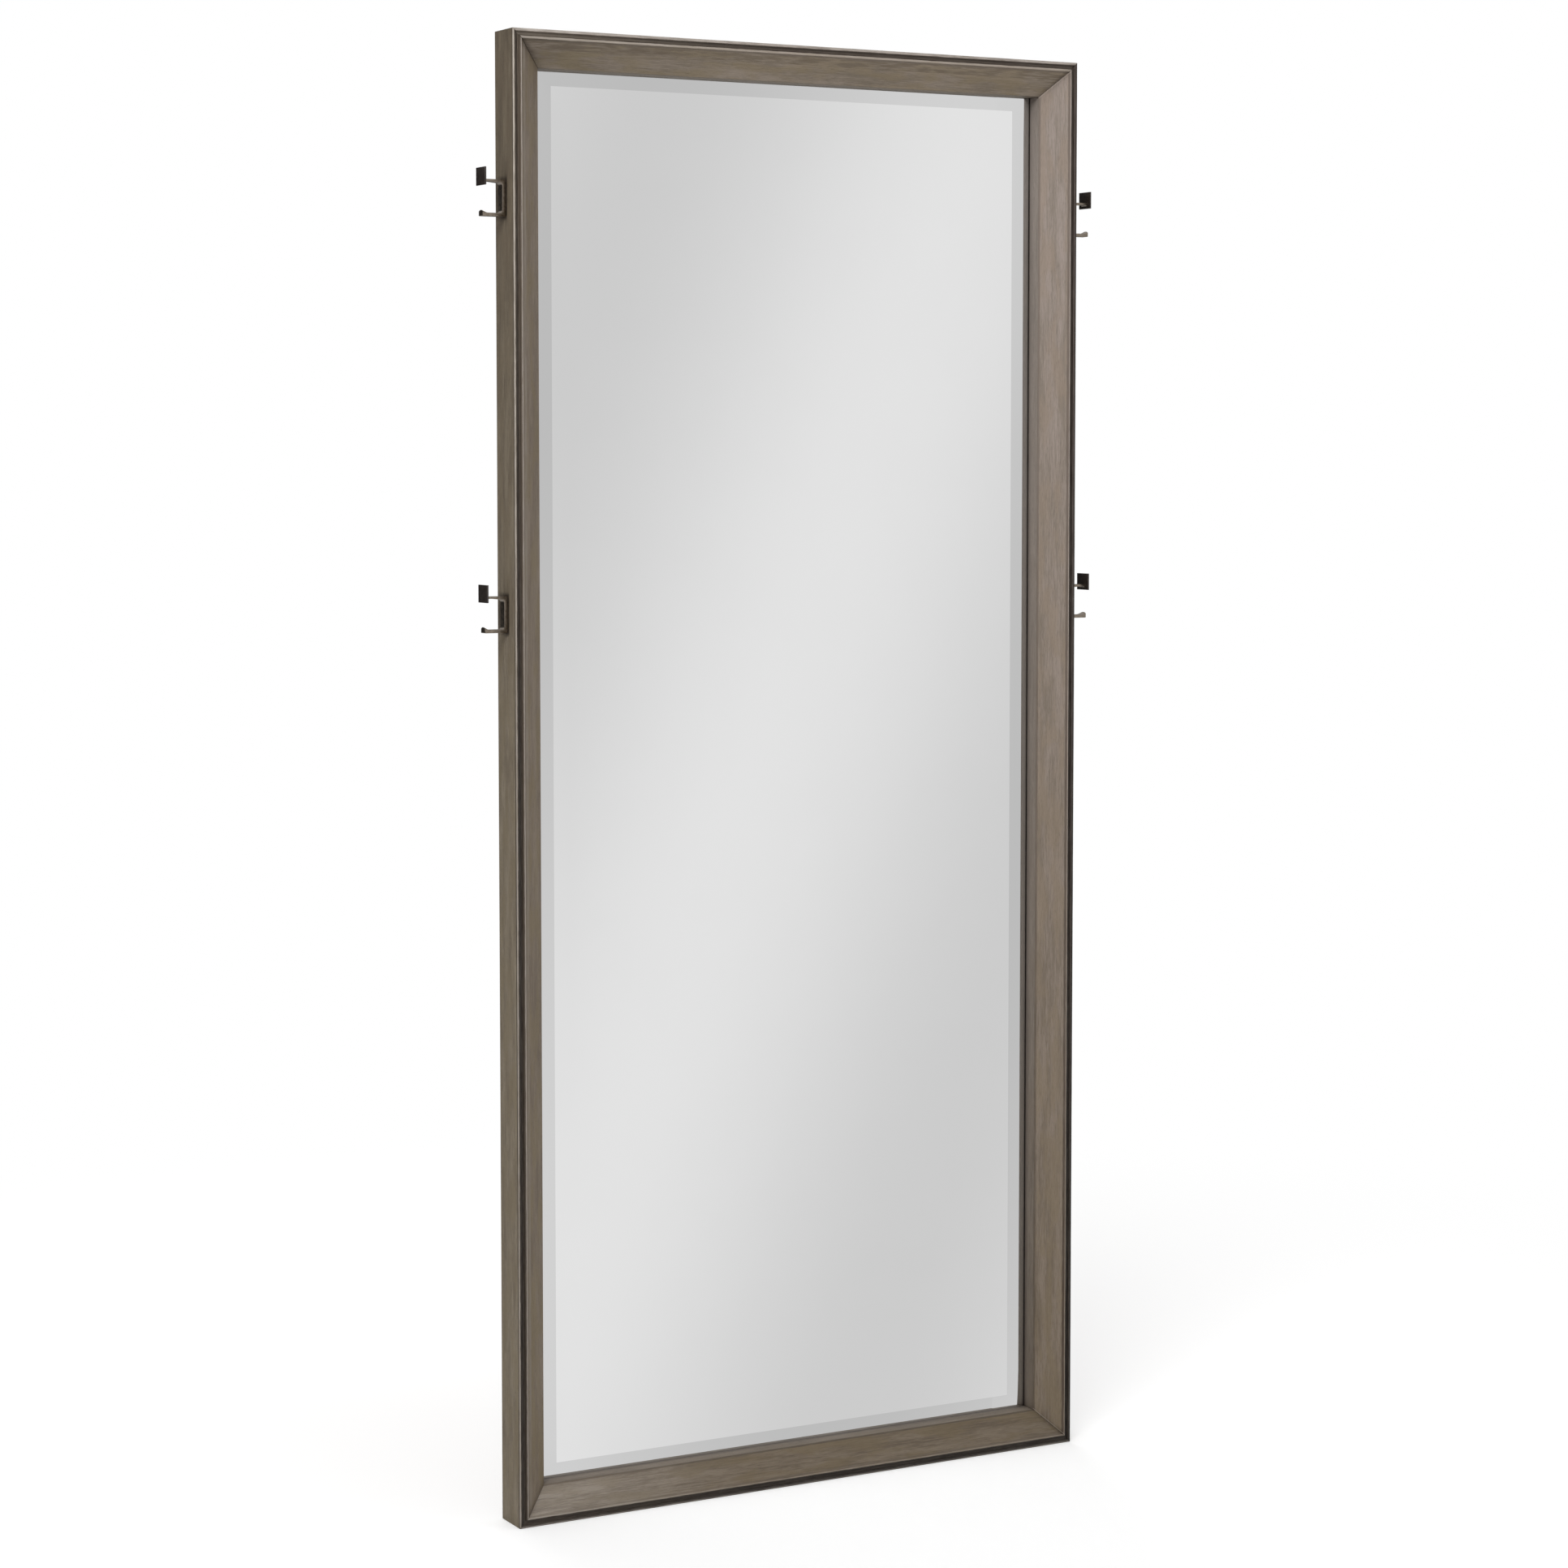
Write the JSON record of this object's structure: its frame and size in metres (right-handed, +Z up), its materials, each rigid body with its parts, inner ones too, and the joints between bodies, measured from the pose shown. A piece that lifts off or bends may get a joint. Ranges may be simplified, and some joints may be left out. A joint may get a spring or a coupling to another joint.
{
  "type": "floor mirror",
  "caption": "Tall floor mirror in a mitred grey-brown wood frame with a grooved lip and deep sloped sides, bevelled glass and dark bronze coat hooks on the sides.",
  "frame": {"origin": "middle of the frame's underside, on the floor", "axes": "+X to the right of someone who looks into the glass, +Y out of the back, +Z up; the glass faces -Y"},
  "size_m": [0.9448, 0.057, 1.981],
  "materials": {
    "frame_wood": "grey-brown stain, worn pale on the edges",
    "liner_wood": "grey-brown stain",
    "batten_wood": "bare softwood",
    "panel_board": "plain hardboard",
    "mirror": "silvered, polished",
    "hook_bronze": "dark bronze, rubbed on the edges",
    "steel": "zinc plated"
  },
  "bodies": {
    "root": {"casing_left": "frame_wood", "face_left": "frame_wood", "liner_left": "liner_wood", "batten_left": "batten_wood", "casing_right": "frame_wood", "face_right": "frame_wood", "liner_right": "liner_wood", "batten_right": "batten_wood", "casing_top": "frame_wood", "face_top": "frame_wood", "liner_top": "liner_wood", "batten_top": "batten_wood", "casing_bottom": "frame_wood", "face_bottom": "frame_wood", "liner_bottom": "liner_wood", "batten_bottom": "batten_wood", "mitre_splines": "batten_wood", "mirror_glass": "mirror", "back_panel": "panel_board", "panel_screws": "steel", "hook_bracket_left_upper": "hook_bronze", "hook_cap_left_upper": "hook_bronze", "hook_bracket_left_lower": "hook_bronze", "hook_cap_left_lower": "hook_bronze", "hook_bracket_right_upper": "hook_bronze", "hook_cap_right_upper": "hook_bronze", "hook_bracket_right_lower": "hook_bronze", "hook_cap_right_lower": "hook_bronze", "hook_screws": "hook_bronze", "hanger_plate_left": "steel", "hanger_plate_right": "steel", "hanger_screws": "steel"}
  },
  "joints": []
}
